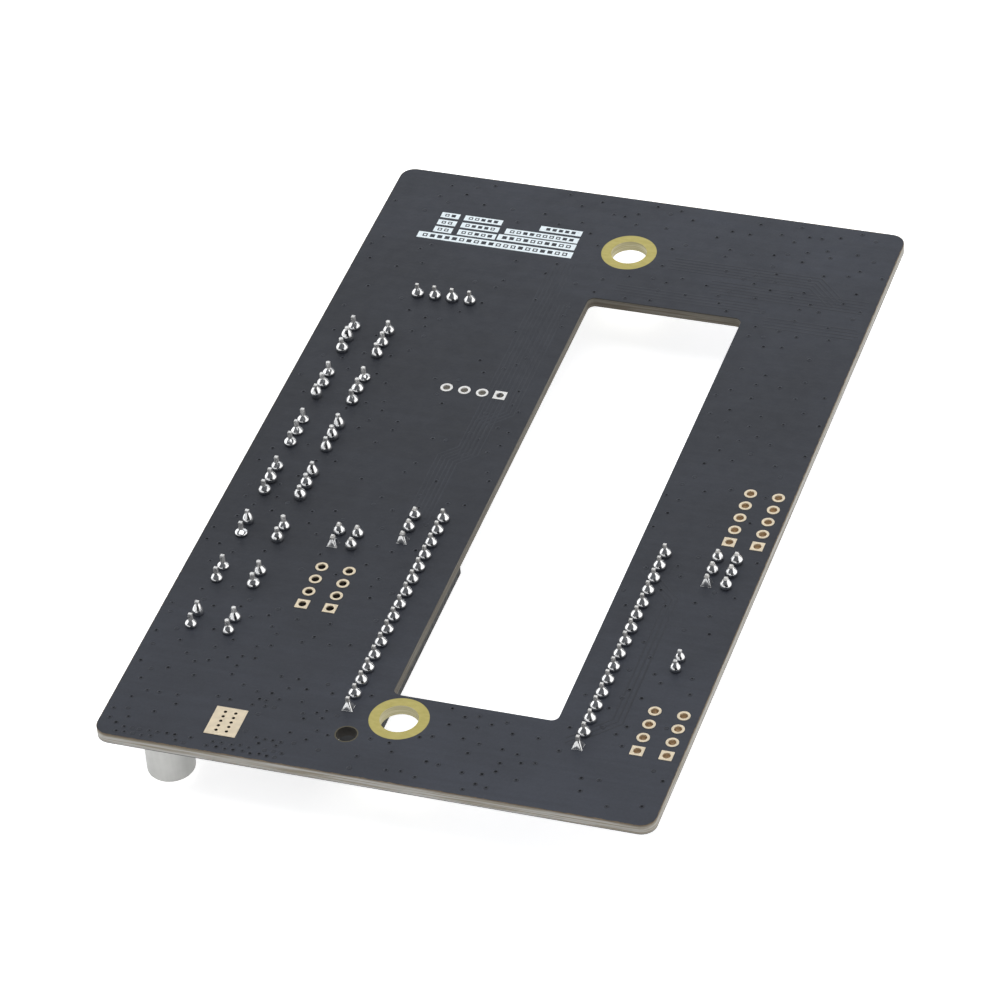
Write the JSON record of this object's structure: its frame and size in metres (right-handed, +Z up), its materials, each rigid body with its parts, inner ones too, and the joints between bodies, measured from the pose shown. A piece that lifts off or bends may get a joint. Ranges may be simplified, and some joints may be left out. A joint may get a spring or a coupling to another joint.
{
  "type": "expansion board",
  "caption": "Dark circuit board, solder side up, with a battery window, host sockets, edge spring terminals, pin headers and bare pads beneath and through it.",
  "frame": {"origin": "middle of the board's outline, on the plane that the sockets and terminals stand on", "axes": "+Z up out of the solder side, +Y along the board towards the end away from the capacitor, +X away from the terminals"},
  "size_m": [0.0742, 0.1238, 0.012],
  "materials": {
    "masked_laminate": "dark slate-grey solder mask on glass-epoxy laminate, bare beige at the edges",
    "plated_copper": "pale gold plated copper",
    "black_plastic": "black moulded nylon",
    "grey_plastic": "light grey moulded nylon",
    "natural_plastic": "natural cream nylon",
    "contact_metal": "gold-flashed brass",
    "tinned_metal": "dull tin plating",
    "solder": "bright solder",
    "can_aluminium": "matte aluminium can",
    "moulded_epoxy": "black moulded epoxy",
    "ferrite": "dark grey pressed ferrite",
    "ceramic": "tan ceramic"
  },
  "bodies": {
    "root": {"circuit_board": "masked_laminate", "left_pads": "plated_copper", "rear_right_pads": "plated_copper", "front_right_pads": "plated_copper", "centre_pads": "plated_copper", "heat_pad": "plated_copper", "left_socket_housing": "black_plastic", "left_socket_contacts": "contact_metal", "right_socket_housing": "black_plastic", "right_socket_contacts": "contact_metal", "terminal_1_housing": "grey_plastic", "terminal_2_housing": "grey_plastic", "terminal_3_housing": "grey_plastic", "terminal_4_housing": "grey_plastic", "terminal_5_housing": "grey_plastic", "terminal_6_housing": "grey_plastic", "terminal_7_housing": "grey_plastic", "terminal_1_clamps": "tinned_metal", "terminal_2_clamps": "tinned_metal", "terminal_3_clamps": "tinned_metal", "terminal_4_clamps": "tinned_metal", "terminal_5_clamps": "tinned_metal", "terminal_6_clamps": "tinned_metal", "terminal_7_clamps": "tinned_metal", "display_socket_housing": "black_plastic", "display_socket_contacts": "contact_metal", "jumper_block_base": "black_plastic", "jumper_block_pins": "contact_metal", "selector_header_base": "black_plastic", "selector_header_pins": "contact_metal", "signal_header_base": "black_plastic", "signal_header_pins": "contact_metal", "battery_connector_shell": "natural_plastic", "battery_connector_pins": "tinned_metal", "capacitor_base": "black_plastic", "capacitor_can": "can_aluminium", "capacitor_leads": "tinned_metal", "regulator_body": "moulded_epoxy", "regulator_leads": "tinned_metal", "transceiver_1_body": "moulded_epoxy", "transceiver_2_body": "moulded_epoxy", "transceiver_3_body": "moulded_epoxy", "transceiver_4_body": "moulded_epoxy", "transceiver_leads": "tinned_metal", "inductor_core": "ferrite", "rectifier_diode": "moulded_epoxy", "surge_diodes": "moulded_epoxy", "solder_tabs": "tinned_metal", "chip_resistors": "moulded_epoxy", "chip_capacitors": "ceramic", "chip_end_caps": "tinned_metal", "left_socket_solder": "solder", "right_socket_solder": "solder", "terminal_solder": "solder", "display_socket_solder": "solder", "header_solder": "solder", "battery_connector_solder": "solder"}
  },
  "joints": []
}
